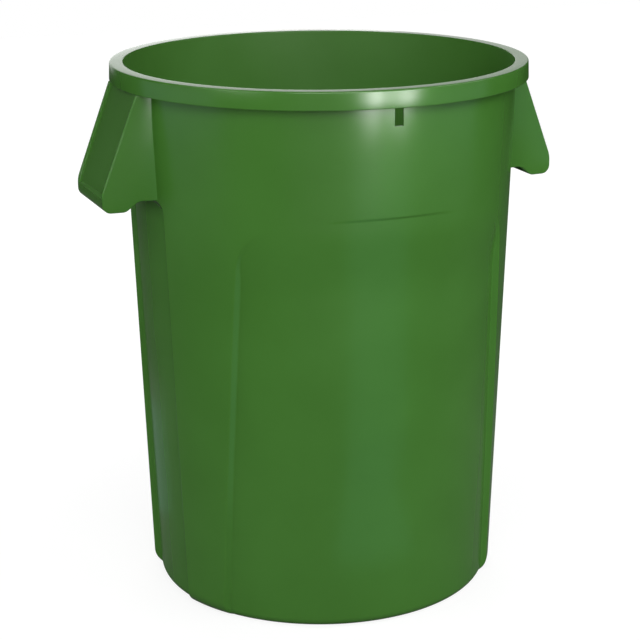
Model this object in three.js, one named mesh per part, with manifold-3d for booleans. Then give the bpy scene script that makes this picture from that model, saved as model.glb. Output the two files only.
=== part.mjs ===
// Round waste container of 44 US gallons, moulded in one piece from polyethylene.
// The tapered wall carries an arch panel at front and rear and a hand channel on each side,
// the rim is a flat ring with a deep outer band, and two hollow handles hang from the rim.
// Lengths are millimetres. +Z is up, the front faces -Y and the handles point along X.
import * as THREE from 'three';
import { mergeVertices, toCreasedNormals } from 'three/addons/utils/BufferGeometryUtils.js';
import Module from 'manifold-3d';

const wasm = await Module();
wasm.setup();

// Overall
const canHeight = 794;
const rimRadius = 306;
const wallThickness = 3.2;
const fitGap = 0.3;
const cutOverrun = 4;
const roundSegments = 96;
const arcSegments = 5;

// Wall: a cone from under the rim down to the floor, with a rounded lower corner
const rimOverhang = 16.2;
const wallTaper = 28.3;
const cornerRun = 22.5;
const cornerHeight = 24;
const cornerSteps = 6;
const innerFilletRadius = 9;
const filletSteps = 3;

// Rim: flat ring on top, outer band below its edge
const flangeThickness = 3.6;
const flangeEdgeRound = 2.6;
const flangeEdgeSteps = 3;
const bandHeight = 21.6;
const bandThickness = 3.5;
const bandFlare = 0.8;

// Liner slot in the collar at the front
const collarHeight = 49.4;
const slotWidth = 13;

// Stiffening ribs in the hollow of the rim, mirrored into all four quadrants
const rimRibThickness = 3;
const rimRibRecess = 2;
const rimRibAngles = [12, 36, 60];

// Arch panels, pressed into the wall at front and rear; half of each spans this many degrees
const panelDepth = 8;
const panelFootHalfAngle = 53.4;
const panelSpringHalfAngle = 43.5;
const panelTopDrop = 180;
const panelCrownHeight = 88;
const panelArchPower = 2.3;
const panelEdgeWidth = 11;
const panelCornerHeight = 14;
const panelColumns = 28;

// Hand channels, pressed into the wall below each handle
const channelFootDepth = 11;
const channelTopDepth = 7;
const channelHalfWidth = 76;
const channelTopDrop = 181;
const channelCrownHeight = 22;
const channelArchPower = 4;
const channelEdgeWidth = 7;
const channelCornerHeight = 14;
const channelColumns = 16;
const recessFootInset = 0.6;

// Base: floor plate above two standing ribs
const footHeight = 8;
const footWidth = 12;
const floorThickness = 4;
const baseRibRadius = 160;
const baseRibWidth = 8;

// Handles: two cheeks, a web between them and a rolled grip at the bottom. A cheek's outer edge
// leans out to a shoulder, turns plumb, rounds the lobe, runs flat and rises over the heel to
// the toe, which meets the wall level. Angles are degrees.
const handleWidth = 132;
const cheekThickness = 4.5;
const handleTopInset = 5.6;
const gripReach = 47;
const edgeLean = 21;
const shoulderRadius = 42;
const lobeDrop = 189.8;
const lobeRadius = 13;
const lobeFlatWidth = 15.5;
const heelRadius = 15;
const heelRise = 40;
const toeDrop = 175.1;
const toeRadius = 20;
const gripThickness = 5;
const lipRise = 7;
const lipRound = 2;
const webInset = 3.5;
const webThickness = 4.5;

const creaseAngle = 25;
const plasticColour = 0x3f6d2d;
const plasticRoughness = 0.42;

// Heights and radii that follow from the sizes above
const flangeBottom = canHeight - flangeThickness;
const bandBottom = flangeBottom - bandHeight;
const collarBottom = flangeBottom - collarHeight;
const floorTop = footHeight + floorThickness;
const wallTopRadius = rimRadius - rimOverhang;
const wallFootRadius = wallTopRadius - wallTaper;
const footRadius = wallFootRadius - cornerRun;
const bandInnerRadius = rimRadius - bandThickness;
const halfTurn = Math.PI;
const quarterTurn = halfTurn / 2;

/** Outside radius of the plain cone at height z. */
function wallRadius(z) {
  return wallFootRadius + (wallTaper * z) / canHeight;
}

/** Distance from the middle plane at which a circle of this radius is halfWidth wide. */
function chordDistance(radius, halfWidth) {
  return Math.sqrt(radius ** 2 - halfWidth ** 2);
}

/** Signed volume of an indexed geometry, negative where its faces point inward. */
function signedVolume(geometry) {
  const position = geometry.getAttribute('position');
  const a = new THREE.Vector3();
  const b = new THREE.Vector3();
  const c = new THREE.Vector3();
  let sum = 0;
  for (let i = 0; i < geometry.index.count; i += 3) {
    a.fromBufferAttribute(position, geometry.index.getX(i));
    b.fromBufferAttribute(position, geometry.index.getX(i + 1));
    c.fromBufferAttribute(position, geometry.index.getX(i + 2));
    sum += a.dot(b.cross(c));
  }
  return sum;
}

/** Geometry to manifold solid: shared points merged, empty triangles left out. */
function toSolid(source) {
  const bare = source.clone();
  bare.deleteAttribute('normal');
  bare.deleteAttribute('uv');
  const merged = mergeVertices(bare);
  const flip = signedVolume(merged) < 0;
  const triangles = [];
  for (let i = 0; i < merged.index.count; i += 3) {
    const a = merged.index.getX(i);
    const b = merged.index.getX(flip ? i + 2 : i + 1);
    const c = merged.index.getX(flip ? i + 1 : i + 2);
    if (a !== b && b !== c && c !== a) {
      triangles.push(a, b, c);
    }
  }
  return new wasm.Manifold(new wasm.Mesh({
    numProp: 3,
    vertProperties: new Float32Array(merged.getAttribute('position').array),
    triVerts: new Uint32Array(triangles),
  }));
}

/** Manifold solid back to a three.js geometry. */
function toGeometry(solid) {
  const mesh = solid.getMesh();
  const geometry = new THREE.BufferGeometry();
  geometry.setAttribute('position', new THREE.BufferAttribute(mesh.vertProperties, 3));
  geometry.setIndex(new THREE.BufferAttribute(mesh.triVerts, 1));
  return toCreasedNormals(geometry, THREE.MathUtils.degToRad(creaseAngle));
}

/** Body turned about the Z axis from [radius, height] points. */
function turned(points) {
  const profile = points.map(([radius, height]) => new THREE.Vector2(radius, height));
  const geometry = new THREE.LatheGeometry(profile, roundSegments);
  geometry.rotateX(quarterTurn);
  return toSolid(geometry);
}

/** Ring with a closed section, given as [radius, height] points. */
function turnedRing(points) {
  return turned([...points, points[0]]);
}

/** Box between two heights that is wider than the can. */
function slab(bottom, top) {
  const span = 3 * (rimRadius + gripReach);
  const geometry = new THREE.BoxGeometry(span, span, top - bottom);
  geometry.translate(0, 0, (bottom + top) / 2);
  return toSolid(geometry);
}

/** Box from bottom to top that lies on one side of the axis, the side that [x, y] points to. */
function halfSlab([x, y], bottom, top) {
  const span = 2 * (rimRadius + gripReach);
  const geometry = new THREE.BoxGeometry(span, span, top - bottom);
  geometry.translate((x * span) / 2, (y * span) / 2, (bottom + top) / 2);
  return toSolid(geometry);
}

/** Plate with an outline in the XZ plane, from y = near to y = far. */
function plateAlongY(shape, near, far) {
  const geometry = new THREE.ExtrudeGeometry(shape, {
    depth: far - near,
    bevelEnabled: false,
    curveSegments: arcSegments,
  });
  geometry.rotateX(quarterTurn);
  geometry.translate(0, far, 0);
  return toSolid(geometry);
}

/** Closed solid between two grids of points, rows going up and columns turning left. */
function solidBetween(inner, outer) {
  const rows = inner.length;
  const columns = inner[0].length;
  const count = rows * columns;
  const positions = [...inner.flat(), ...outer.flat()].flatMap((p) => [p.x, p.y, p.z]);
  const index = [];
  const quad = (a, b, c, d) => index.push(a, b, c, a, c, d);
  const inAt = (i, j) => i * columns + j;
  const outAt = (i, j) => count + i * columns + j;
  const last = rows - 1;
  const end = columns - 1;
  for (let i = 0; i < last; i += 1) {
    for (let j = 0; j < end; j += 1) {
      quad(outAt(i, j), outAt(i, j + 1), outAt(i + 1, j + 1), outAt(i + 1, j));
      quad(inAt(i, j), inAt(i + 1, j), inAt(i + 1, j + 1), inAt(i, j + 1));
    }
    quad(inAt(i, 0), outAt(i, 0), outAt(i + 1, 0), inAt(i + 1, 0));
    quad(inAt(i, end), inAt(i + 1, end), outAt(i + 1, end), outAt(i, end));
  }
  for (let j = 0; j < end; j += 1) {
    quad(inAt(0, j), inAt(0, j + 1), outAt(0, j + 1), outAt(0, j));
    quad(inAt(last, j), outAt(last, j), outAt(last, j + 1), inAt(last, j + 1));
  }
  const geometry = new THREE.BufferGeometry();
  geometry.setAttribute('position', new THREE.Float32BufferAttribute(positions, 3));
  geometry.setIndex(index);
  return toSolid(geometry);
}

/** [radius, height] points of a quarter-round lower corner, ending on radius at height. */
function cornerPoints(startRadius, endRadius, height, steps = cornerSteps) {
  const points = [];
  for (let i = 0; i <= steps; i += 1) {
    const turn = (quarterTurn * i) / steps;
    const radius = startRadius + (endRadius - startRadius) * Math.sin(turn);
    points.push([radius, height * (1 - Math.cos(turn))]);
  }
  return points;
}

/**
 * Tool that presses a recess into the wall: its floor follows the cone at a depth, its
 * sides lean outward over edgeWidth, and its top is a superelliptic arch above the spring
 * line. With a skin it is the pad that the recess leaves inside the can.
 */
function recessTool(recess, skin) {
  const { middle, spring, crown, power, edgeWidth, columns } = recess;
  const floorRadius = (z) => wallRadius(z) - recess.depthAt(z) - skin;
  const start = footRadius - recessFootInset - skin;
  const corner = cornerPoints(start, floorRadius(recess.corner), recess.corner);
  const levels = [[start, -cutOverrun], ...corner, [floorRadius(spring), spring]];
  const reach = (edgeWidth * (recess.depthAt(spring) + cutOverrun)) / recess.depthAt(spring);
  const halfAngle = (z, grow) => recess.halfAngleAt(z) + grow / wallRadius(z);
  const at = (turn, radius, z) => new THREE.Vector3(
    radius * Math.cos(middle + turn),
    radius * Math.sin(middle + turn),
    z,
  );
  const inner = [];
  const outer = [];
  const shares = [];
  for (let j = 0; j <= columns; j += 1) {
    shares.push(-Math.cos((halfTurn * j) / columns));
  }
  for (const [radius, z] of levels) {
    inner.push(shares.map((share) => at(share * halfAngle(z, skin), radius, z)));
    outer.push(shares.map((share) => (
      at(share * halfAngle(z, skin + reach), wallRadius(z) + cutOverrun, z)
    )));
  }
  const archShare = (share) => (1 - Math.abs(share) ** power) ** (1 / power);
  inner.push(shares.map((share) => {
    const z = spring + (crown + skin) * archShare(share);
    return at(share * halfAngle(spring, skin), floorRadius(z), z);
  }));
  outer.push(shares.map((share) => {
    const z = spring + (crown + skin + reach) * archShare(share);
    return at(share * halfAngle(spring, skin + reach), wallRadius(z) + cutOverrun, z);
  }));
  return solidBetween(inner, outer);
}

/** The two arch panels and the two hand channels. */
function recesses() {
  const panelSpring = canHeight - panelTopDrop - panelCrownHeight;
  const channelSpring = canHeight - channelTopDrop - channelCrownHeight;
  const footHalfAngle = THREE.MathUtils.degToRad(panelFootHalfAngle);
  const springHalfAngle = THREE.MathUtils.degToRad(panelSpringHalfAngle);
  const panel = {
    spring: panelSpring,
    crown: panelCrownHeight,
    power: panelArchPower,
    edgeWidth: panelEdgeWidth,
    columns: panelColumns,
    corner: panelCornerHeight,
    depthAt: () => panelDepth,
    halfAngleAt: (z) => (
      THREE.MathUtils.lerp(footHalfAngle, springHalfAngle, Math.max(z, 0) / panelSpring)
    ),
  };
  const channelFall = (channelFootDepth - channelTopDepth) / channelSpring;
  const channel = {
    spring: channelSpring,
    crown: channelCrownHeight,
    power: channelArchPower,
    edgeWidth: channelEdgeWidth,
    columns: channelColumns,
    corner: channelCornerHeight,
    depthAt: (z) => channelFootDepth - channelFall * Math.max(z, 0),
    halfAngleAt: (z) => Math.asin(channelHalfWidth / wallRadius(z)),
  };
  return [
    { ...panel, middle: -quarterTurn },
    { ...panel, middle: quarterTurn },
    { ...channel, middle: 0 },
    { ...channel, middle: halfTurn },
  ];
}

/** Heights at which the cone gets a ring of points, so that no facet is long and thin. */
function coneHeights() {
  const archTop = canHeight - panelTopDrop + 2 * panelEdgeWidth;
  const spring = canHeight - panelTopDrop - panelCrownHeight;
  return [spring / 2, spring, archTop];
}

/** Solid cone with the rounded lower corner, grown outward by a gap. */
function plainCone(gap) {
  const corner = cornerPoints(footRadius + gap, wallRadius(cornerHeight) + gap, cornerHeight);
  return turned([
    [0, 0],
    ...corner,
    ...coneHeights().map((height) => [wallRadius(height) + gap, height]),
    [wallRadius(flangeBottom) + gap, flangeBottom],
    [0, flangeBottom],
  ]);
}

/** Outer form of the can below the rim, filled solid. */
function outerBody() {
  return recesses().reduce(
    (body, recess) => body.subtract(recessTool(recess, 0)),
    plainCone(0),
  );
}

/** Room inside the can, from the floor up past the rim. */
function cavity() {
  const radiusAt = (z) => wallRadius(z) - wallThickness;
  const filletTop = floorTop + innerFilletRadius;
  const start = radiusAt(filletTop) - innerFilletRadius;
  const fillet = cornerPoints(start, radiusAt(filletTop), innerFilletRadius, filletSteps);
  const above = canHeight + cutOverrun;
  const room = turned([
    [0, floorTop],
    ...fillet.map(([radius, height]) => [radius, floorTop + height]),
    ...coneHeights().map((height) => [radiusAt(height), height]),
    [radiusAt(above), above],
    [0, above],
  ]);
  return recesses().reduce(
    (space, recess) => space.subtract(recessTool(recess, wallThickness)),
    room,
  );
}

const body = outerBody();
const shell = body.subtract(cavity());

/** Half of the tapered wall between floor and collar, at the front for -1, the rear for 1. */
function wallHalf(side) {
  return shell.intersect(halfSlab([0, side], floorTop, collarBottom));
}

/** Floor plate across the whole can. */
function baseFloor() {
  return body.intersect(slab(footHeight, floorTop));
}

/** Outer standing rib, whose outside is the rounded corner of the can. */
function footRing() {
  const innerRadius = footRadius - footWidth;
  const hole = turned([
    [0, -cutOverrun],
    [innerRadius, -cutOverrun],
    [innerRadius, footHeight + cutOverrun],
    [0, footHeight + cutOverrun],
  ]);
  return body.intersect(slab(0, footHeight)).subtract(hole);
}

/** Inner standing rib under the floor. */
function baseRibRing() {
  const innerRadius = baseRibRadius - baseRibWidth;
  return turnedRing([
    [innerRadius, 0],
    [baseRibRadius, 0],
    [baseRibRadius, footHeight],
    [innerRadius, footHeight],
  ]);
}

/** Half of the wall's top course, cut back by the slot, on the left for -1, the right for 1. */
function collarHalf(side) {
  const slot = new THREE.BoxGeometry(slotWidth, rimRadius, canHeight);
  slot.translate(0, -rimRadius, canHeight / 2);
  return shell
    .intersect(halfSlab([side, 0], collarBottom, flangeBottom))
    .subtract(toSolid(slot));
}

/** Flat ring on top of the rim, with a rounded outer edge. */
function rimFlange() {
  const round = flangeEdgeRound;
  const edge = cornerPoints(rimRadius - round, rimRadius, round, flangeEdgeSteps);
  const innerRadius = wallRadius(flangeBottom) - wallThickness;
  return turnedRing([
    [innerRadius, flangeBottom],
    [rimRadius, flangeBottom],
    ...edge.map(([radius, height]) => [radius, canHeight - height]).reverse(),
    [innerRadius, canHeight],
  ]);
}

/** Outer band below the edge of the flat ring, a little wider at its lower edge. */
function rimBand() {
  return turnedRing([
    [bandInnerRadius + bandFlare, bandBottom],
    [rimRadius + bandFlare, bandBottom],
    [rimRadius, flangeBottom],
    [bandInnerRadius, flangeBottom],
  ]);
}

/** Rib between collar and band, standing in a radial plane. */
function rimRib() {
  const bottom = bandBottom + rimRibRecess;
  const shape = new THREE.Shape();
  shape.moveTo(wallRadius(bottom) + fitGap, bottom);
  shape.lineTo(bandInnerRadius - fitGap, bottom);
  shape.lineTo(bandInnerRadius - fitGap, flangeBottom);
  shape.lineTo(wallRadius(flangeBottom) + fitGap, flangeBottom);
  return plateAlongY(shape, -rimRibThickness / 2, rimRibThickness / 2);
}

// Handle geometry in the XZ plane, for the handle on +X
const lean = THREE.MathUtils.degToRad(edgeLean);
const rise = THREE.MathUtils.degToRad(heelRise);
const gripX = rimRadius + gripReach;
const lobeZ = canHeight - lobeDrop;
const toeZ = canHeight - toeDrop;
const edgeTop = { x: rimRadius - handleTopInset, z: bandBottom };
const shoulder = shoulderCentre();
const lipZ = shoulder.z + lipRise;
const heelX = gripX - lobeRadius - lobeFlatWidth;

/** Centre of the arc that turns the leaning edge of a cheek plumb at the grip's full reach. */
function shoulderCentre() {
  const edgeEndX = gripX - shoulderRadius * (1 - Math.cos(lean));
  const edgeEndZ = edgeTop.z - (edgeEndX - edgeTop.x) / Math.tan(lean);
  return { x: gripX - shoulderRadius, z: edgeEndZ - shoulderRadius * Math.sin(lean) };
}

/** X of the cheek's straight outer edge, carried on up and down, at height z. */
function edgeX(z) {
  return edgeTop.x + (edgeTop.z - z) * Math.tan(lean);
}

/** X at which the toe's arc turns level, where the straight rise from the heel ends on it. */
function toeLevelX() {
  const radii = heelRadius + toeRadius;
  const straight = toeZ - lobeZ - radii * (1 - Math.cos(rise));
  return heelX - radii * Math.sin(rise) - straight / Math.tan(rise);
}

/** Room that the wall and the rim band take from a handle piece. */
function wallAndBand() {
  const bandRoom = turnedRing([
    [bandInnerRadius - fitGap, bandBottom],
    [rimRadius + gripReach, bandBottom],
    [rimRadius + gripReach, canHeight],
    [bandInnerRadius - fitGap, canHeight],
  ]);
  return plainCone(fitGap).add(bandRoom);
}

const handleKeepOut = wallAndBand();

/**
 * Cheek: side plate of a handle, which widens from the rim down to a lobe round the grip. The
 * side is 1 for the cheek on +Y and -1 for the one on -Y.
 */
function cheek(side) {
  const halfWidth = handleWidth / 2;
  const rootX = chordDistance(wallFootRadius, halfWidth);
  const lobeX = gripX - lobeRadius;
  const toeX = toeLevelX();
  const shape = new THREE.Shape();
  shape.moveTo(rootX, toeZ);
  shape.lineTo(toeX, toeZ);
  shape.absarc(toeX, toeZ - toeRadius, toeRadius, quarterTurn, quarterTurn - rise, true);
  shape.absarc(heelX, lobeZ + heelRadius, heelRadius, -quarterTurn - rise, -quarterTurn, false);
  shape.absarc(lobeX, lobeZ + lobeRadius, lobeRadius, -quarterTurn, 0, false);
  shape.absarc(shoulder.x, shoulder.z, shoulderRadius, 0, lean, false);
  shape.lineTo(edgeTop.x, edgeTop.z);
  shape.lineTo(edgeTop.x, flangeBottom);
  shape.lineTo(rootX, flangeBottom);
  const near = side > 0 ? halfWidth - cheekThickness : -halfWidth;
  return plateAlongY(shape, near, near + cheekThickness).subtract(handleKeepOut);
}

const webSpan = handleWidth / 2 - cheekThickness - fitGap;
const webRun = webThickness / Math.cos(lean);

/** Web: sloping plate between the cheeks, set back behind their outer edges. */
function web() {
  const shape = new THREE.Shape();
  shape.moveTo(edgeX(lipZ) - webInset - webRun, lipZ);
  shape.lineTo(edgeX(lipZ) - webInset, lipZ);
  shape.lineTo(edgeX(flangeBottom) - webInset, flangeBottom);
  shape.lineTo(edgeX(flangeBottom) - webInset - webRun, flangeBottom);
  return plateAlongY(shape, -webSpan, webSpan).subtract(handleKeepOut);
}

/** Grip: hook that starts as a lip at the foot of the web and rolls round the lobe's outline. */
function gripRoll() {
  const lobeX = gripX - lobeRadius;
  const lobeCentreZ = lobeZ + lobeRadius;
  const heelCentreZ = lobeZ + heelRadius;
  const ledgeBottom = lipZ - gripThickness;
  const tip = -quarterTurn - rise;
  const tipRadius = gripThickness / 2;
  const tipX = heelX + (heelRadius - tipRadius) * Math.cos(tip);
  const tipZ = heelCentreZ + (heelRadius - tipRadius) * Math.sin(tip);
  const lipTurn = Math.asin((lipZ - lipRound - shoulder.z) / shoulderRadius);
  const lipX = shoulder.x + Math.sqrt(shoulderRadius ** 2 - (lipZ - shoulder.z) ** 2);
  const webBack = edgeX(lipZ) - webInset - webRun;
  const shape = new THREE.Shape();
  shape.moveTo(webBack, ledgeBottom);
  shape.lineTo(gripX - gripThickness, ledgeBottom);
  shape.absarc(lobeX, lobeCentreZ, lobeRadius - gripThickness, 0, -quarterTurn, true);
  shape.absarc(heelX, heelCentreZ, heelRadius - gripThickness, -quarterTurn, tip, true);
  shape.absarc(tipX, tipZ, tipRadius, tip + halfTurn, tip, false);
  shape.absarc(heelX, heelCentreZ, heelRadius, tip, -quarterTurn, false);
  shape.absarc(lobeX, lobeCentreZ, lobeRadius, -quarterTurn, 0, false);
  shape.absarc(shoulder.x, shoulder.z, shoulderRadius, 0, lipTurn, false);
  shape.quadraticCurveTo(lipX, lipZ, lipX - lipRound, lipZ);
  shape.lineTo(webBack, lipZ);
  return plateAlongY(shape, -webSpan, webSpan);
}

/** Semi-gloss coloured polyethylene. */
function plastic() {
  return new THREE.MeshStandardMaterial({
    color: plasticColour,
    roughness: plasticRoughness,
    metalness: 0,
  });
}

const group = new THREE.Group();

/** Adds a solid to the group as a named mesh and returns that mesh. */
function place(name, solid) {
  const mesh = new THREE.Mesh(toGeometry(solid), plastic());
  mesh.name = name;
  group.add(mesh);
  return mesh;
}

place('wall_front', wallHalf(-1));
place('wall_rear', wallHalf(1));
place('base_floor', baseFloor());
place('foot_ring', footRing());
place('base_rib_ring', baseRibRing());
place('collar_left', collarHalf(-1));
place('collar_right', collarHalf(1));
place('rim_flange', rimFlange());
place('rim_band', rimBand());

const ribTurns = rimRibAngles.flatMap((angle) => [angle, 180 - angle, 180 + angle, 360 - angle]);
ribTurns.sort((a, b) => a - b);
ribTurns.forEach((angle, i) => {
  const rib = place(`rim_rib_${String(i + 1).padStart(2, '0')}`, rimRib());
  rib.rotation.z = THREE.MathUtils.degToRad(angle) - quarterTurn;
});

for (const [side, turn] of [['right', 0], ['left', halfTurn]]) {
  const frontSide = side === 'right' ? -1 : 1;
  const pieces = [
    place(`handle_${side}_front_cheek`, cheek(frontSide)),
    place(`handle_${side}_rear_cheek`, cheek(-frontSide)),
    place(`handle_${side}_web`, web()),
    place(`handle_${side}_grip`, gripRoll()),
  ];
  for (const piece of pieces) {
    piece.rotation.z = turn;
  }
}

export default group;
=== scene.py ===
import math

import bpy
import numpy as np
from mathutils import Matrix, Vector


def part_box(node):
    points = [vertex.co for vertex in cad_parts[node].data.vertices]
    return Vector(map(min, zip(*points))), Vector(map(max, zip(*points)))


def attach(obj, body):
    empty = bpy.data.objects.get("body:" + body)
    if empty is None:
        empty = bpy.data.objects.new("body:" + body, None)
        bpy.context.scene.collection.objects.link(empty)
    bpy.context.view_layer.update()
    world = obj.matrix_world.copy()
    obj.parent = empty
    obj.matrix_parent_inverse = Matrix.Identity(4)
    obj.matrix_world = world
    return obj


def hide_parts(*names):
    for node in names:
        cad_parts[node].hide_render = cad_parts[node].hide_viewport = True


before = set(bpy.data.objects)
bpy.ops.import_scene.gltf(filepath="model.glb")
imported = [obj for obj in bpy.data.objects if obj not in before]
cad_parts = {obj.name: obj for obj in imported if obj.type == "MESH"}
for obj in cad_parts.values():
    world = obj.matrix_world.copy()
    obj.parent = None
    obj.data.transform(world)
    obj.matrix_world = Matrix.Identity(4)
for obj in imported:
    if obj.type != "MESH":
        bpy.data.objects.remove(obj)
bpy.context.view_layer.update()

# The wall: a tapered shell of coloured polyethylene, one shot with all the rest of the can.
# An arch panel is pressed in at front and rear and a hand channel below each handle, and a
# liner slot is left open at the top of the wall at the front.
# Metres and radians: the whole, the foot and its corner, the neck under the band, the panels,
# the channels, the slot, and the seams to base and rim.
can_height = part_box("rim_flange")[1][2]
flange_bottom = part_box("rim_flange")[0][2]
floor_bottom, floor_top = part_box("base_floor")[0][2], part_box("base_floor")[1][2]
collar_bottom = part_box("collar_right")[0][2]
neck_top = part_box("rim_band")[0][2]
wall_foot_radius = 0.2615
wall_taper = 0.0283
wall_thickness = 0.0032
foot_radius = 0.239
corner_height = 0.024
recess_corner_height = 0.014
corner_top = 0.045
fillet_radius = 0.009
neck_foot = 0.705
neck_depth = 0.0016
panel_depth = 0.008
panel_edge = 0.0065
panel_foot_angle = math.radians(54.1)
panel_spring_angle = math.radians(45.4)
panel_spring = 0.526
panel_crown = 0.0862
panel_power = 3
crown_depth = 0.0016
fade_start, fade_end = 0.5, 0.602
crown_full, crown_lost = math.radians(6), math.radians(22)
crown_edge = 0.0022
channel_foot_depth = 0.011
channel_top_depth = 0.007
channel_edge = 0.007
channel_half_width = 0.076
channel_spring = 0.591
channel_crown = 0.022
channel_power = 4
slot_half_width = 0.0065
slot_middle_height = 0.766
seam_radius = 0.235
rim_seam_radius = 0.288
inner_edge_round = 0.0012

# The wall's grid: how the rows and columns are spread, and the limits that keep the recesses'
# formula away from a division by nothing.
quarter_turn = math.pi / 2
least_share = 1e-6
least_level = 0.3
least_slope = 1e-3
column_margin = 0.003
crease_degrees = 40
panel_side_turn = math.radians(60)
slot_columns = 4
column_counts = [8, 10, 14, 12, 26, 22, slot_columns]
row_counts = [(corner_top, 18), (0.5, 6), (0.54, 26), (0.596, 24), (0.624, 12)]
slot_rows = 9
corner_rows = 15
join_rows = 5
edge_steps = 5
corner_level = 0.02
corner_full_depth = 0.006


def cone(z):
    """Outside radius of the plain wall: the radius at the floor plus the taper's share of z."""
    return wall_foot_radius + wall_taper * z / can_height


def ramp(t, softness=0.07):
    """Straight climb from 0 to 1 with rounded ends: a soft hinge at 0 less one at 1."""
    return softness * (np.logaddexp(0, t / softness) - np.logaddexp(0, (t - 1) / softness))


def blend(value, start, end):
    """Smooth step from 0 at start to 1 at end: the cubic 3t^2 - 2t^3."""
    t = np.clip((value - start) / (end - start), 0, 1)
    return t * t * (3 - 2 * t)


def recess_share(across, up, half, crown, power, edge):
    """1 on the floor of a recess and 0 outside it. Its outline is where the power sum of
    across/half and up/crown reaches 1; what exceeds 1, divided by the slope of that sum, is
    the distance outside the outline, and the side climbs over the edge width."""
    u = np.maximum(across / half, least_share)
    v = np.maximum(up / crown, least_share)
    level = np.maximum((u ** power + v ** power) ** (1 / power), least_level)
    slope = np.hypot(u ** (power - 1) / half, v ** (power - 1) / crown) * level ** (1 - power)
    return 1 - ramp((level - 1) / np.maximum(slope, least_slope) / edge)


def panel_half_angle(z):
    """Half the angle that the panel's floor spans, narrowing from the foot to the spring."""
    share = np.clip(z / panel_spring, 0, 1)
    return panel_foot_angle + (panel_spring_angle - panel_foot_angle) * share


def channel_half_angle(z):
    """Half the angle of a hand channel of constant width."""
    return np.arcsin(channel_half_width / cone(z))


def wall_radius(turn, z):
    """Outside radius at an angle from the nearest handle and a height: the plain cone, less
    the panel's depth and the channel's depth where they lie. Towards its crown the panel grows
    shallow in the middle and runs out at the corners, and its edge is crisp."""
    radius = cone(z)
    fade = blend(z, fade_start, fade_end)
    panel = recess_share((quarter_turn - turn) * radius, z - panel_spring,
                         panel_half_angle(z) * radius, panel_crown, panel_power,
                         panel_edge + (crown_edge - panel_edge) * fade)
    crown = crown_depth * (1 - blend(quarter_turn - turn, crown_full, crown_lost))
    panel = panel * (panel_depth + (crown - panel_depth) * fade)
    channel = recess_share(turn * radius, z - channel_spring,
                           channel_half_angle(z) * radius, channel_crown, channel_power,
                           channel_edge)
    fall = (channel_foot_depth - channel_top_depth) / channel_spring
    depth = channel_foot_depth - fall * z
    return radius - panel - depth * channel


def quarter_columns(z):
    """Angles from the handle to the middle of the panel, one row for each height. The columns
    crowd on both sides of each recess's edge and follow it up the wall."""
    margin = column_margin / cone(z)
    marks = [0 * z,
             channel_half_angle(z) - margin,
             channel_half_angle(z) + channel_edge / cone(z) + margin,
             quarter_turn - panel_half_angle(z) - panel_edge / cone(z) - margin,
             quarter_turn - panel_half_angle(z) + margin,
             panel_side_turn + 0 * z,
             quarter_turn - slot_half_width / cone(slot_middle_height) + 0 * z,
             quarter_turn + 0 * z]
    parts = [low + (high - low) * np.linspace(0, 1, count, endpoint=False)
             for low, high, count in zip(marks, marks[1:], column_counts)]
    return np.concatenate(parts + [marks[-1]], axis=1)


def around(turns):
    """Angles all the way round from those of one quarter, mirrored three times."""
    back = math.pi - turns[:, :0:-1]
    half = np.concatenate([turns[:, :-1], back], axis=1)
    return np.concatenate([half, half + math.pi], axis=1)


def folded(turn):
    """Angle from the nearest handle: the arc cosine of the size of the cosine."""
    return np.arccos(np.clip(np.abs(np.cos(turn)), 0, 1))


def grid_points(turn, radius, z):
    """Points at an angle and radius about the can's axis, and a height."""
    turn, radius, z = np.broadcast_arrays(turn, radius, z)
    return np.stack([radius * np.cos(turn), radius * np.sin(turn), z], axis=-1)


def make_mesh(name, points, faces):
    """Smooth-shaded object at the origin from an array of points and a list of face arrays."""
    mesh = bpy.data.meshes.new(name)
    mesh.from_pydata(points.reshape(-1, 3).tolist(), [],
                     [face for group in faces for face in group.tolist()])
    mesh.validate()
    mesh.shade_smooth()
    piece = bpy.data.objects.new(name, mesh)
    bpy.context.scene.collection.objects.link(piece)
    return piece


def strip_faces(rows, columns, wrap_rows=False, wrap_columns=True):
    """Index array of the quads of a grid, joined end to end where it wraps."""
    i = np.arange(rows if wrap_rows else rows - 1)[:, None]
    j = np.arange(columns if wrap_columns else columns - 1)[None, :]
    k = (i + 1) % rows
    m = (j + 1) % columns
    return np.stack([i * columns + j, i * columns + m, k * columns + m, k * columns + j], axis=-1)


def smooth_by_angle(piece, degrees):
    """Marks as sharp each edge whose faces meet at more than the angle."""
    piece.data.set_sharp_from_angle(angle=math.radians(degrees))


# The plastic: how large its mottle and its grain are, how high the grain stands, and how far
# the gloss goes to either side of its middle.
refractive_index = 1.52
mottle_scale, mottle_detail = 9, 5
mottle_dark_end, mottle_light_end = 0.3, 0.7
glossier, duller = 0.03, 0.04
grain_scale, grain_detail = 900, 3
grain_height = 0.0002


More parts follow.
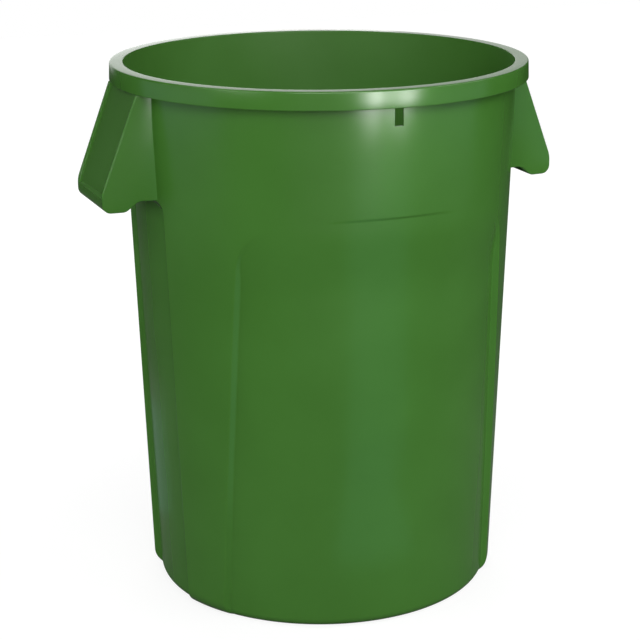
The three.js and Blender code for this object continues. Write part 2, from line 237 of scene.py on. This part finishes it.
def polyethylene(name, roughness, grain, dark, light, shine=0.4):
    """Coloured-through moulded polyethylene: a fine moulding grain, and a slight mottle of the
    colour and of the gloss."""
    material = bpy.data.materials.new(name)
    material.use_nodes = True
    nodes, links = material.node_tree.nodes, material.node_tree.links
    shader = nodes["Principled BSDF"]
    shader.inputs["IOR"].default_value = refractive_index
    shader.inputs["Specular IOR Level"].default_value = shine
    place = nodes.new("ShaderNodeTexCoord")
    mottle = nodes.new("ShaderNodeTexNoise")
    mottle.inputs["Scale"].default_value = mottle_scale
    mottle.inputs["Detail"].default_value = mottle_detail
    links.new(place.outputs["Object"], mottle.inputs["Vector"])
    tint = nodes.new("ShaderNodeValToRGB")
    tint.color_ramp.elements[0].position = mottle_dark_end
    tint.color_ramp.elements[0].color = dark
    tint.color_ramp.elements[1].position = mottle_light_end
    tint.color_ramp.elements[1].color = light
    links.new(mottle.outputs["Fac"], tint.inputs["Fac"])
    links.new(tint.outputs["Color"], shader.inputs["Base Color"])
    gloss = nodes.new("ShaderNodeMapRange")
    gloss.inputs["To Min"].default_value = roughness - glossier
    gloss.inputs["To Max"].default_value = roughness + duller
    links.new(mottle.outputs["Fac"], gloss.inputs["Value"])
    links.new(gloss.outputs["Result"], shader.inputs["Roughness"])
    skin = nodes.new("ShaderNodeTexNoise")
    skin.inputs["Scale"].default_value = grain_scale
    skin.inputs["Detail"].default_value = grain_detail
    links.new(place.outputs["Object"], skin.inputs["Vector"])
    bump = nodes.new("ShaderNodeBump")
    bump.inputs["Strength"].default_value = grain
    bump.inputs["Distance"].default_value = grain_height
    links.new(skin.outputs["Fac"], bump.inputs["Height"])
    links.new(bump.outputs["Normal"], shader.inputs["Normal"])
    return material


skin_green = (0.0405, 0.137, 0.0178, 1), (0.045, 0.15, 0.0208, 1)
# The inside of the can takes a lighter, less saturated copy of the same green. This is painted
# light: it brightens the shaded inside.
painted_light_inside_green = (0.049, 0.152, 0.022, 1), (0.056, 0.17, 0.028, 1)
wall_plastic = polyethylene("green wall", 0.24, 0.08, *skin_green)
painted_light_inside_plastic = polyethylene("green inside painted lighter", 0.45, 0.2, *painted_light_inside_green, shine=0.2)
row_starts = [start for start, count in row_counts]
upper_levels = np.concatenate(
    [np.linspace(start, end, count, endpoint=False)
     for (start, count), end in zip(row_counts, row_starts[1:] + [collar_bottom])]
    + [np.linspace(collar_bottom, flange_bottom, slot_rows)])[:, None]
corner_steps = np.linspace(0, 1, corner_rows)[:, None]


def neck(z):
    """How far the outside draws in under the band: it grows with the square of the height
    above the neck's foot."""
    share = np.clip((z - neck_foot) / (neck_top - neck_foot), 0, 1)
    return neck_depth * share ** 2


def outer_skin():
    """Rows from the edge under the flange down to the seam under the foot. Below the wall the
    corner is a quarter ellipse: its radius grows with the sine of the step's angle and its
    height with one less the cosine."""
    turn = around(quarter_columns(upper_levels))
    radius = wall_radius(folded(turn), upper_levels) - neck(upper_levels)
    upper = grid_points(turn, radius, upper_levels)
    turn = around(quarter_columns(0 * corner_steps))
    fold = folded(turn)
    plain = 1 + (wall_radius(fold, corner_level) - cone(corner_level)) / corner_full_depth
    height = recess_corner_height + (corner_height - recess_corner_height) * np.clip(plain, 0, 1)
    angle = corner_steps * quarter_turn
    swell = wall_radius(fold, height) - foot_radius
    corner = grid_points(turn, foot_radius + swell * np.sin(angle), height * (1 - np.cos(angle)))
    between = np.linspace(0, 1, join_rows)[1:-1, None]
    fold = folded(turn[:1])
    climb = height[:1] + (corner_top - height[:1]) * between
    join = grid_points(turn[:1], wall_radius(fold, climb), climb)
    seam = grid_points(turn[:1], seam_radius, 0)
    return np.concatenate([seam, corner, join, upper])[::-1]


def inner_skin():
    """Rows from the seam on the floor up to the seam on the flange: the outside less the
    wall's thickness, with a fillet round the floor and a small round at the rim's edge."""
    turn = around(quarter_columns(0 * corner_steps))
    fillet_top = floor_top + fillet_radius
    start = wall_radius(folded(turn), fillet_top) - wall_thickness - fillet_radius
    angle = corner_steps * quarter_turn
    fillet = grid_points(turn, start + fillet_radius * np.sin(angle),
                         floor_top + fillet_radius * (1 - np.cos(angle)))
    seam = grid_points(turn[:1], seam_radius, floor_top)
    turn = around(quarter_columns(upper_levels))
    radius = wall_radius(folded(turn), upper_levels) - wall_thickness
    upper = grid_points(turn, radius, upper_levels)
    angle = np.linspace(0, quarter_turn, edge_steps)[:, None]
    top = turn[-1:]
    edge = grid_points(top, radius[-1:] + inner_edge_round * (1 - np.cos(angle)),
                       can_height - inner_edge_round * (1 - np.sin(angle)))
    flat = grid_points(top, rim_seam_radius, can_height)
    under = grid_points(top, rim_seam_radius, flange_bottom)
    return np.concatenate([seam, fillet, upper, edge, flat, under])


inner = inner_skin()
outer = outer_skin()
wall_points = np.concatenate([inner, outer])
wall_rows, wall_columns = wall_points.shape[:2]
wall_faces = strip_faces(wall_rows, wall_columns, wrap_rows=True)

# The slot at the front, three quarters of the way round from the right handle: its faces are
# left out of both skins, and jambs, sill and head join the two.
slot_middle = wall_columns * 3 // 4
first, last = slot_middle - slot_columns, slot_middle + slot_columns
inner_sill = 1 + len(corner_steps) + len(upper_levels) - slot_rows
outer_sill = len(inner) + slot_rows - 1
keep = np.ones(wall_faces.shape[:2], bool)
keep[inner_sill:inner_sill + slot_rows - 1, first:last] = False
keep[len(inner):outer_sill, first:last] = False
into = (inner_sill + np.arange(slot_rows)) * wall_columns
out = (outer_sill - np.arange(slot_rows)) * wall_columns
slot_faces = []
for column, side in ((first, 1), (last, -1)):
    a, b = into + column, out + column
    jamb = np.stack([a[:-1], a[1:], b[1:], b[:-1]], axis=-1)
    slot_faces.append(jamb[:, ::side])
across = np.arange(first, last)
for row, side in ((0, 1), (slot_rows - 1, -1)):
    a, b = into[row] + across, out[row] + across
    sill = np.stack([a, b, b + 1, a + 1], axis=-1)
    slot_faces.append(sill[:, ::side])
wall = make_mesh("can_wall", wall_points, [wall_faces[keep], *slot_faces])
smooth_by_angle(wall, crease_degrees)
wall.data.materials.append(wall_plastic)
wall.data.materials.append(painted_light_inside_plastic)
# The faces inside the can take the lighter copy of the green, which is painted light.
inside_rows = len(inner) - edge_steps - 2
face_row = np.broadcast_to(np.arange(wall_rows)[:, None], keep.shape)[keep]
is_inside = np.zeros(len(wall.data.polygons), np.int32)
is_inside[:len(face_row)] = face_row < inside_rows
wall.data.polygons.foreach_set("material_index", is_inside)
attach(wall, "root")
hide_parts("wall_front", "wall_rear", "collar_left", "collar_right", "foot_ring")

# The base: the floor plate of the can, sunk above the standing ring, and a second standing rib
# under it. The same polyethylene, one moulding with the wall, and duller than its outside.
rib_width = 0.008
rib_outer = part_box("base_rib_ring")[1][0]
rib_inner = rib_outer - rib_width
ring_inner = 0.227
centre_radius = 0.002
edge_soft = 0.001
base_columns = 240
dull_green = (0.047, 0.143, 0.022, 1), (0.054, 0.16, 0.028, 1)


def turned_rows(profile, columns):
    """Points of a body turned about the axis, one row for each [radius, height]."""
    profile = np.asarray(profile)
    turn = np.arange(columns) / columns * 2 * math.pi
    return grid_points(turn[None, :], profile[:, :1], profile[:, 1:])


def softened(profile, size, steps=3):
    """The inner corners of an open profile, each cut back by size along both sides and rounded
    by a quadratic curve through the cut points."""
    corners = np.asarray(profile, float)
    sides = np.diff(corners, axis=0)
    sides /= np.linalg.norm(sides, axis=1)[:, None]
    corners = corners[1:-1]
    start, end = corners - sides[:-1] * size, corners + sides[1:] * size
    t = np.linspace(0, 1, steps + 1)[None, :, None]
    curve = (start[:, None] * (1 - t) ** 2 + corners[:, None] * 2 * t * (1 - t)
             + end[:, None] * t ** 2)
    return curve.reshape(-1, 2)


base_profile = [
    (centre_radius, floor_top), (seam_radius, floor_top), (seam_radius, 0), (ring_inner, 0),
    (ring_inner, floor_bottom), (rib_outer, floor_bottom), (rib_outer, 0), (rib_inner, 0),
    (rib_inner, floor_bottom), (centre_radius, floor_bottom)]
rounded = softened(base_profile[2:], edge_soft)
base_rows = turned_rows([*base_profile[:3], *rounded, base_profile[-1]], base_columns)
poles = np.array([[0, 0, floor_top], [0, 0, floor_bottom]])
base_points = np.concatenate([base_rows.reshape(-1, 3), poles])
row_count = len(base_rows)
ring = np.arange(base_columns)
following = (ring + 1) % base_columns
top_pole = row_count * base_columns
fan_top = np.stack([np.full(base_columns, top_pole), ring, following], axis=-1)
last_row = (row_count - 1) * base_columns
fan_under = np.stack([np.full(base_columns, top_pole + 1), last_row + following,
                      last_row + ring], axis=-1)
base_faces = strip_faces(row_count, base_columns)[..., ::-1].reshape(-1, 4)
base = make_mesh("can_base", base_points, [base_faces, fan_top, fan_under])
smooth_by_angle(base, crease_degrees)
base.data.materials.append(polyethylene("green base", 0.5, 0.35, *dull_green))
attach(base, "root")
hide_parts("base_floor", "base_rib_ring")

# The rim: a flat ring turned out from the top of the wall, with a deep band hanging from its
# outer edge. Glossy polyethylene, one moulding with the wall; lids and bag edges rest on it.
rim_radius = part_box("rim_flange")[1][0]
band_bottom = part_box("rim_band")[0][2]
band_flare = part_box("rim_band")[1][0] - rim_radius
band_thickness = 0.0035
rim_columns = 480
rim_crease_degrees = 60
top_round = 0.0022
rim_profile = np.concatenate([
    [(rim_seam_radius, flange_bottom), (rim_seam_radius, can_height)],
    softened([(rim_seam_radius, can_height), (rim_radius, can_height),
              (rim_radius + band_flare, band_bottom)], top_round, steps=5),
    softened([(rim_radius, can_height), (rim_radius + band_flare, band_bottom),
              (rim_radius + band_flare - band_thickness, band_bottom),
              (rim_radius - band_thickness, flange_bottom),
              (rim_seam_radius, flange_bottom)], edge_soft, steps=4)])
rim_faces = strip_faces(len(rim_profile), rim_columns, wrap_rows=True)[..., ::-1]
rim = make_mesh("can_rim", turned_rows(rim_profile, rim_columns), [rim_faces.reshape(-1, 4)])
smooth_by_angle(rim, rim_crease_degrees)
rim.data.materials.append(polyethylene("green rim", 0.21, 0.05, *skin_green))
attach(rim, "root")
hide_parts("rim_flange", "rim_band")

# The stiffening ribs: small plates of the same polyethylene in the hollow of the rim, moulded in
# with wall and band. They keep the shape that the construction gives them.
rib_plastic = polyethylene("green rim ribs", 0.45, 0.2, *dull_green)
for node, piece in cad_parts.items():
    if node.startswith("rim_rib"):
        piece.data.materials.clear()
        piece.data.materials.append(rib_plastic)

# The handles: two cheeks that grow out of the wall with a round root, and a face set a little
# back between them that rolls under into a hook for the fingers. Glossy polyethylene, one
# moulding with the wall, open at the back and below.
handle_half_width = -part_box("handle_right_front_cheek")[0][1]
lobe_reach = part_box("handle_right_front_cheek")[1][0]
lobe_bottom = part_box("handle_right_grip")[0][2]
lip_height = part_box("handle_right_grip")[1][2]
cheek_thickness = 0.0045
edge_top_x = 0.3004
edge_slope = math.tan(math.radians(21))
shoulder_radius = 0.042
lobe_radius = 0.013
lobe_flat = 0.0155
heel_radius = 0.015
heel_rise = math.radians(40)
toe_height = 0.6189
toe_radius = 0.02
edge_round = 0.0021
inner_edge_rounding = 0.0014
web_inset = 0.0035
web_thickness = 0.0045
web_fillet = 0.0022
face_overlap = 0.0006
hook_thickness = 0.005
lip_blend = 0.0072
root_x = 0.281
root_fillet = 0.0018
root_drop = 0.002
root_depth = 0.0012
handle_spread = math.tan(math.radians(4))
band_clearance = 0.0005
wall_clearance = 0.0003
sunk_width = 0.004
sunk_round = 0.0004
least_round = 0.0002

# The handles' grids: points along each arc and straight of the outlines.
shoulder_steps, lobe_steps, heel_steps, toe_steps, tip_steps = 12, 16, 9, 10, 9
round_steps = 7
edge_levels, face_levels, lip_levels, back_levels = 24, 40, 14, 30
face_columns = 25
root_steps, root_levels = 11, 40
root_crowding = 1.5
handle_crease_degrees = 35

lean = math.atan(edge_slope)
shoulder_x = lobe_reach - shoulder_radius
shoulder_end_x = shoulder_x + shoulder_radius * math.cos(lean)
shoulder_z = (band_bottom - (shoulder_end_x - edge_top_x) / edge_slope
              - shoulder_radius * math.sin(lean))
heel_x = lobe_reach - lobe_radius - lobe_flat


def arc(centre, radius, start, end, steps):
    """Points of a circular arc between two angles."""
    angle = np.linspace(start, end, steps)
    return np.stack([centre[0] + radius * np.cos(angle), centre[1] + radius * np.sin(angle)],
                    axis=-1)


def edge_x(z):
    """The straight outer edge of a cheek at a height: it leans out by the slope going down."""
    return edge_top_x + (band_bottom - z) * edge_slope


def lobe_outline(inset=0.0):
    """From the shoulder round the lobe to the heel: an arc that turns the leaning edge plumb,
    the lobe's quarter circle, the flat and the heel's arc, all drawn in by the inset."""
    shoulder = arc((shoulder_x, shoulder_z), shoulder_radius - inset, lean, 0, shoulder_steps)
    lobe = arc((lobe_reach - lobe_radius, lobe_bottom + lobe_radius), lobe_radius - inset,
               0, -quarter_turn, lobe_steps)
    heel = arc((heel_x, lobe_bottom + heel_radius), heel_radius - inset,
               -quarter_turn, -quarter_turn - heel_rise, heel_steps)
    return np.concatenate([shoulder, lobe, heel])


def spread(x):
    """How far a cheek stands out from the handle's narrow outer end, growing towards the wall."""
    return (lobe_reach - x) * handle_spread


root_half_width = handle_half_width + spread(root_x)
shoulder_top = shoulder_z + shoulder_radius * math.sin(lean)


def cheek_outline():
    """Closed outline of a cheek in the XZ plane, from its top outer corner down the edge, round
    the lobe and over the heel to the level toe, and up inside the wall. The toe's arc starts
    where the heel's rise, a straight line between two arcs, meets it."""
    radii = heel_radius + toe_radius
    straight = toe_height - lobe_bottom - radii * (1 - math.cos(heel_rise))
    toe_x = heel_x - radii * math.sin(heel_rise) - straight / math.tan(heel_rise)
    toe = arc((toe_x, toe_height - toe_radius), toe_radius, quarter_turn - heel_rise,
              quarter_turn, toe_steps)
    near_half_width = root_half_width - cheek_thickness
    inside = [(math.sqrt((cone(z) - neck(z) - root_depth) ** 2 - near_half_width ** 2), z)
              for z in (toe_height, neck_foot, (neck_foot + band_bottom) / 2, band_bottom,
                        flange_bottom)]
    edge_heights = np.linspace(band_bottom, shoulder_top, edge_levels)
    edge = np.stack([edge_x(edge_heights), edge_heights], axis=-1)[:-1]
    band_inside = rim_radius - band_thickness - band_clearance
    behind_band = math.sqrt(band_inside ** 2 - handle_half_width ** 2)
    top = [(behind_band, flange_bottom), (behind_band, band_bottom)]
    return np.concatenate([top, edge, lobe_outline(), toe, inside])


def plate(outline, near, far, near_soft, far_soft):
    """Closed plate from near to far along Y with rounded edges: at each face the outline is
    drawn in by its softness there and steps out in a quarter circle."""
    following = np.roll(outline, -1, axis=0) - outline
    before = outline - np.roll(outline, 1, axis=0)
    direction = (following / np.linalg.norm(following, axis=1)[:, None]
                 + before / np.linalg.norm(before, axis=1)[:, None])
    direction /= np.linalg.norm(direction, axis=1)[:, None]
    inward = np.stack([direction[:, 1], -direction[:, 0]], axis=-1)
    angle = np.linspace(0, quarter_turn, round_steps)[:, None]
    draw = np.concatenate([near_soft * (1 - np.sin(angle)), far_soft * (1 - np.sin(angle[::-1]))])
    place = np.concatenate([near + near_soft * (1 - np.cos(angle)),
                            far - far_soft * (1 - np.cos(angle[::-1]))])
    flat = outline[None] + inward[None] * draw[:, :, None]
    return np.stack([flat[..., 0], place + spread(flat[..., 0]), flat[..., 1]], axis=-1)


def plate_faces(points):
    """Faces of a plate: its rounded side as a strip and its two faces as one polygon each."""
    rows, columns = points.shape[:2]
    near_face = np.arange(columns)[None, ::-1]
    far_face = ((rows - 1) * columns + np.arange(columns))[None, :]
    return [strip_faces(rows, columns).reshape(-1, 4), near_face, far_face]


def root_points(height):
    """Round root of a cheek: for each height the section is an arc tangent to the cheek's face
    and to the wall, closed by a point inside the wall and one inside the cheek. Its lower end
    runs down by the drop towards the wall with the square of the way along the arc."""
    share = np.linspace(0, 1, root_steps)[None, :]
    toe = toe_height - root_drop * share ** 2
    z = toe + (height - toe) * np.linspace(0, 1, root_levels)[:, None] ** root_crowding
    radius = cone(z) - neck(z) + root_fillet
    centre_y = root_half_width + root_fillet
    centre_x = np.sqrt(radius ** 2 - centre_y ** 2)
    start, end = -quarter_turn, -math.pi + np.arctan2(centre_y, centre_x)
    angle = start + (end - start) * share
    x = centre_x + root_fillet * np.cos(angle)
    y = centre_y + root_fillet * np.sin(angle)
    curve = np.stack([x, y, z], axis=-1)
    sunk = curve[:, -1:] - [root_depth, 0, 0]
    inside_y = root_half_width - root_depth
    inside_x = np.sqrt((cone(z) - neck(z) - root_depth) ** 2 - inside_y ** 2)
    corner = np.stack([inside_x[:, :1], 0 * inside_x[:, :1] + inside_y, z[:, :1]], axis=-1)
    return np.concatenate([curve, sunk, corner], axis=1)


def set_back(z):
    """How far the face is set back: its inset above the lip, 0 below, a smooth step between."""
    return web_inset * blend(z, lip_height - lip_blend, lip_height)


def face_profile():
    """Closed outline of the face and its hook in the XZ plane. The outside runs down set back
    from the cheeks' edges, swells out to them over the lip in a smooth step, and follows the
    lobe to a round tip. The inside is the same outline less the thickness."""
    z = np.concatenate([np.linspace(flange_bottom, lip_height, face_levels, endpoint=False),
                        np.linspace(lip_height, lip_height - lip_blend, lip_levels)])
    bend = np.clip(z, shoulder_z, shoulder_top) - shoulder_z
    edge = np.where(z > shoulder_top, edge_x(z),
                    shoulder_x + np.sqrt(shoulder_radius ** 2 - bend ** 2))
    clear_of_wall = cone(z) - neck(z) + wall_clearance
    outside = np.stack([np.maximum(edge - set_back(z), clear_of_wall), z], axis=-1)
    outside = np.concatenate([outside, lobe_outline()[shoulder_steps:]])
    tip = -quarter_turn - heel_rise
    middle = heel_radius - hook_thickness / 2
    tip_centre = (heel_x + middle * math.cos(tip),
                  lobe_bottom + heel_radius + middle * math.sin(tip))
    end = arc(tip_centre, hook_thickness / 2, tip, tip - math.pi, tip_steps)
    hollow = lobe_outline(hook_thickness)[shoulder_steps:][::-1]
    back_heights = np.linspace(lip_height - hook_thickness, flange_bottom, back_levels)
    run = web_thickness / math.cos(lean)
    back = np.stack([np.maximum(edge_x(back_heights) - web_inset - run,
                                cone(back_heights) - root_depth), back_heights], axis=-1)
    return np.concatenate([outside, end[1:-1], hollow, back]), len(z)


def face_points():
    """The profile carried across between the cheeks. On the set-back face a concave quarter
    round rises to meet each cheek."""
    profile, outer_count = face_profile()
    near = handle_half_width - cheek_thickness - web_fillet
    bow = web_fillet * np.sin(np.linspace(0, quarter_turn, round_steps))
    y = np.concatenate([[-near - web_fillet - face_overlap], -near - bow[::-1],
                        np.linspace(-near, near, face_columns)[1:-1], near + bow,
                        [near + web_fillet + face_overlap]])
    reach = np.clip(abs(y) - near, 0, web_fillet)
    rise = web_fillet - np.sqrt(web_fillet ** 2 - reach ** 2)
    share = set_back(profile[:outer_count, 1]) / web_inset
    lift = np.zeros((len(y), len(profile)))
    lift[:, :outer_count] = rise[:, None] * share[None, :]
    x = profile[None, :, 0] + lift * math.cos(lean)
    height = profile[None, :, 1] + lift * math.sin(lean)
    return np.stack([x, y[:, None] * (1 + spread(x) / near), height], axis=-1)


def half_turned(points):
    """The same points turned half way round the can's axis."""
    return points * np.array([-1, -1, 1])


handle_plastic = polyethylene("green handles", 0.18, 0.05, *skin_green)
inner_face = handle_half_width - cheek_thickness
outline = cheek_outline()
lip_share = np.clip((outline[:, 1] - lip_height + lip_blend) / lip_blend, 0, 1)
stands_free = outline[:, 0] > outline[-1, 0] + sunk_width
outer_soft = np.where(stands_free, edge_round, sunk_round)
inner_soft = least_round + inner_edge_rounding * lip_share * stands_free
cheek_plate = plate(outline, inner_face, handle_half_width, inner_soft, outer_soft)
root = root_points(flange_bottom)
for side, turn_round in (("right", False), ("left", True)):
    front, rear = (1, -1) if turn_round else (-1, 1)
    for word, sign in (("front", front), ("rear", rear)):
        flip = np.array([1, sign, 1])
        bodies = [cheek_plate * flip, root * flip]
        bodies = [half_turned(body) if turn_round else body for body in bodies]
        plate_side = [group[:, ::sign] for group in plate_faces(bodies[0])]
        start = bodies[0].shape[0] * bodies[0].shape[1]
        root_rows, root_columns = root.shape[:2]
        shell = strip_faces(root_rows, root_columns)[..., ::-sign].reshape(-1, 4)
        low = np.arange(root_columns)[None, ::sign]
        high = (root_rows - 1) * root_columns + np.arange(root_columns)[None, ::-sign]
        root_side = [group + start for group in (shell, low, high)]
        points = np.concatenate([body.reshape(-1, 3) for body in bodies])
        cheek = make_mesh(f"handle_{side}_{word}_side", points, plate_side + root_side)
        smooth_by_angle(cheek, handle_crease_degrees)
        cheek.data.materials.append(handle_plastic)
        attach(cheek, "root")
        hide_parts(f"handle_{side}_{word}_cheek")
    points = face_points()
    points = half_turned(points) if turn_round else points
    face = make_mesh(f"handle_{side}_face", points, plate_faces(points))
    smooth_by_angle(face, handle_crease_degrees)
    face.data.materials.append(handle_plastic)
    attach(face, "root")
    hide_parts(f"handle_{side}_web", f"handle_{side}_grip")

# The studio floor: a square of matt paper that the can stands on. To the camera it also glows,
# a little less near the can than far off, so that it looks white and keeps a faint shadow.
floor_size = 12
near_floor_colour, far_floor_colour = 0.18, 0.08
near_glow, far_glow = 0.85, 1
near_reach, far_reach = 0.4, 1.3
paper_roughness = 0.9
paper_shine = 0.1

floor_mesh = bpy.data.meshes.new("studio_floor")
corner = floor_size / 2
floor_mesh.from_pydata([(-corner, -corner, 0), (corner, -corner, 0), (corner, corner, 0),
                        (-corner, corner, 0)], [], [(0, 1, 2, 3)])
floor = bpy.data.objects.new("studio_floor", floor_mesh)
bpy.context.scene.collection.objects.link(floor)
paper = bpy.data.materials.new("white paper")
paper.use_nodes = True
paper_shader = paper.node_tree.nodes["Principled BSDF"]
paper_shader.inputs["Roughness"].default_value = paper_roughness
paper_shader.inputs["Specular IOR Level"].default_value = paper_shine
paper_shader.inputs["Emission Color"].default_value = (1, 1, 1, 1)
paper_nodes, paper_links = paper.node_tree.nodes, paper.node_tree.links
seen = paper_nodes.new("ShaderNodeLightPath")
spot = paper_nodes.new("ShaderNodeTexCoord")
distance_out = paper_nodes.new("ShaderNodeVectorMath")
distance_out.operation = "LENGTH"
paper_links.new(spot.outputs["Object"], distance_out.inputs[0])


def over_floor(near, far, interpolation="LINEAR"):
    """Node output that goes from near to far as the floor runs out from the can."""
    node = paper_nodes.new("ShaderNodeMapRange")
    node.interpolation_type = interpolation
    node.inputs["From Min"].default_value = near_reach
    node.inputs["From Max"].default_value = far_reach
    node.inputs["To Min"].default_value = near
    node.inputs["To Max"].default_value = far
    paper_links.new(distance_out.outputs["Value"], node.inputs["Value"])
    return node.outputs["Result"]


paper_links.new(over_floor(near_floor_colour, far_floor_colour),
                paper_shader.inputs["Base Color"])
glow = paper_nodes.new("ShaderNodeMath")
glow.operation = "MULTIPLY"
paper_links.new(seen.outputs["Is Camera Ray"], glow.inputs[0])
paper_links.new(over_floor(near_glow, far_glow, "SMOOTHSTEP"), glow.inputs[1])
paper_links.new(glow.outputs["Value"], paper_shader.inputs["Emission Strength"])
floor.data.materials.append(paper)

# The lamps: soft boxes round the can, turned from the camera's direction. A tall highlight comes
# from the key box at the front right, tinted boxes low by the floor and at the sides give the
# cooler reflections, and broad boxes light front, sides, back and the inside from above.
camera_azimuth = math.radians(-21.9)
aim_height = 0.5
cool_white = (0.65, 0.9, 1)
water_green = (0.35, 1, 0.8)


def soft_box(name, turn, rise, distance, width, height, power, lights=True, mirrors=True,
             colour=(1, 1, 1), facing=None):
    """Rectangular lamp that faces the can's middle from an angle off the camera's direction
    and an elevation, or looks down or up by another angle. It can be kept out of the diffuse
    light or out of the reflections."""
    lamp = bpy.data.lights.new(name, "AREA")
    lamp.shape = "RECTANGLE"
    lamp.size, lamp.size_y = width, height
    lamp.energy = power
    lamp.color = colour
    holder = bpy.data.objects.new(name, lamp)
    bpy.context.scene.collection.objects.link(holder)
    azimuth, elevation = camera_azimuth + math.radians(turn), math.radians(rise)
    level = distance * math.cos(elevation)
    holder.location = (level * math.sin(azimuth), -level * math.cos(azimuth),
                       aim_height + distance * math.sin(elevation))
    lean_back = elevation if facing is None else math.radians(facing)
    holder.rotation_euler = (quarter_turn - lean_back, 0, azimuth)
    holder.visible_camera = False
    holder.visible_diffuse = lights
    holder.visible_glossy = mirrors


# Each lamp's turn, rise, distance, width, height and power. These show in the gloss only.
soft_box("key box", 33, 13, 1.15, 0.55, 0.3, 5, lights=False)
soft_box("key strip left", 26, 10.5, 1.2, 0.07, 0.3, 1.4, lights=False)
soft_box("key strip right", 41, 10.5, 1.18, 0.13, 0.3, 1.2, lights=False)
soft_box("key foot", 31, -15, 0.8, 0.42, 0.55, 0.25, lights=False, colour=water_green)
soft_box("floor glow", 27, -38.7, 0.794, 0.34, 0.38, 0.17, lights=False, colour=water_green,
         facing=-90)
soft_box("left glow", -130, -38.7, 0.794, 0.5, 0.5, 0.09, lights=False, colour=water_green,
         facing=-90)
soft_box("back sheet", 187, 6, 3.0, 1.2, 0.7, 3.2, lights=False)
soft_box("left sheet", -80, -3, 3.0, 2.8, 0.7, 3, lights=False, colour=cool_white)
soft_box("right sheet", 75, -3, 3.0, 2.4, 0.7, 2.4, lights=False, colour=cool_white)
soft_box("edge box", -40, 12, 2.6, 1.0, 0.3, 7, lights=False)

# These light the can. The low ones, the overhead one and the one behind stay out of the gloss.
soft_box("overhead", 0, 90, 2.5, 1.2, 1.2, 12, mirrors=False)
soft_box("high front", 8, 27, 3.2, 2.4, 1.4, 64)
soft_box("high right", 56, 40, 3.0, 1.8, 1.2, 14)
soft_box("high left", -60, 40, 3.0, 1.8, 1.2, 15)
soft_box("far right", 85, 30, 3.0, 1.8, 1.2, 19)
soft_box("low front", 10, -2, 3.2, 3.0, 0.8, 31, mirrors=False)
soft_box("low right", 78, 0, 3.0, 2.0, 0.8, 15, mirrors=False)
soft_box("low left", -75, 5, 3.0, 2.0, 1.0, 25, mirrors=False)
soft_box("left foot", -112, -20, 1.1, 0.8, 0.3, 1.7, mirrors=False)
soft_box("right foot", 100, -20, 1.1, 0.6, 0.3, 0.9, mirrors=False)
soft_box("back fill", 187, 15, 3.0, 2.4, 1.2, 42, mirrors=False)

# The room is white to the camera. In the plastic's gloss it shows the white backdrop behind the
# can, and the dim room on the other sides.
room_light = 0.04
backdrop_azimuth = camera_azimuth + math.radians(189)
backdrop_edge, backdrop_inside = 0.89, 0.965
world = bpy.data.worlds.new("white room")
bpy.context.scene.world = world
world.use_nodes = True
room_nodes, room_links = world.node_tree.nodes, world.node_tree.links
room = room_nodes["Background"]
room.inputs["Color"].default_value = (1, 1, 1, 1)


def combine(operation, first, second):
    """Output of a maths node on two outputs."""
    node = room_nodes.new("ShaderNodeMath")
    node.operation = operation
    room_links.new(first, node.inputs[0])
    room_links.new(second, node.inputs[1])
    return node.outputs["Value"]


ray = room_nodes.new("ShaderNodeLightPath")
direction = room_nodes.new("ShaderNodeTexCoord")
towards = room_nodes.new("ShaderNodeVectorMath")
towards.operation = "DOT_PRODUCT"
towards.inputs[1].default_value = (math.sin(backdrop_azimuth), -math.cos(backdrop_azimuth), 0)
room_links.new(direction.outputs["Generated"], towards.inputs[0])
backdrop = room_nodes.new("ShaderNodeMapRange")
backdrop.interpolation_type = "SMOOTHSTEP"
backdrop.inputs["From Min"].default_value = backdrop_edge
backdrop.inputs["From Max"].default_value = backdrop_inside
room_links.new(towards.outputs["Value"], backdrop.inputs["Value"])
through = combine("MAXIMUM", ray.outputs["Is Glossy Ray"], ray.outputs["Is Transmission Ray"])
shown = combine("MULTIPLY", backdrop.outputs["Result"], through)
shown = combine("MAXIMUM", shown, ray.outputs["Is Camera Ray"])
level = room_nodes.new("ShaderNodeMapRange")
level.inputs["To Min"].default_value = room_light
level.inputs["To Max"].default_value = 1
room_links.new(shown, level.inputs["Value"])
room_links.new(level.outputs["Result"], room.inputs["Strength"])

# The camera: it looks at the front from the left and from a little above the rim. Its place,
# small turns and focal length were fitted to the ellipse of the rim, the foot and both outlines.
camera_distance = 2.76083
camera_height = 1.20748
camera_yaw = -0.0014
camera_pitch = 0.28711
camera_roll = 0.00504
focal_pixels = 1886.12
picture_width = 640
sensor_width = 36
camera_data = bpy.data.cameras.new("camera")
camera_data.sensor_width = sensor_width
camera_data.lens = focal_pixels * sensor_width / picture_width
camera = bpy.data.objects.new("camera", camera_data)
bpy.context.scene.collection.objects.link(camera)
camera.location = (camera_distance * math.sin(camera_azimuth),
                   -camera_distance * math.cos(camera_azimuth), camera_height)
camera.rotation_mode = "XYZ"
camera.rotation_euler = (quarter_turn - camera_pitch, camera_roll, camera_azimuth + camera_yaw)
bpy.context.scene.camera = camera
bpy.context.scene.view_settings.view_transform = "Standard"
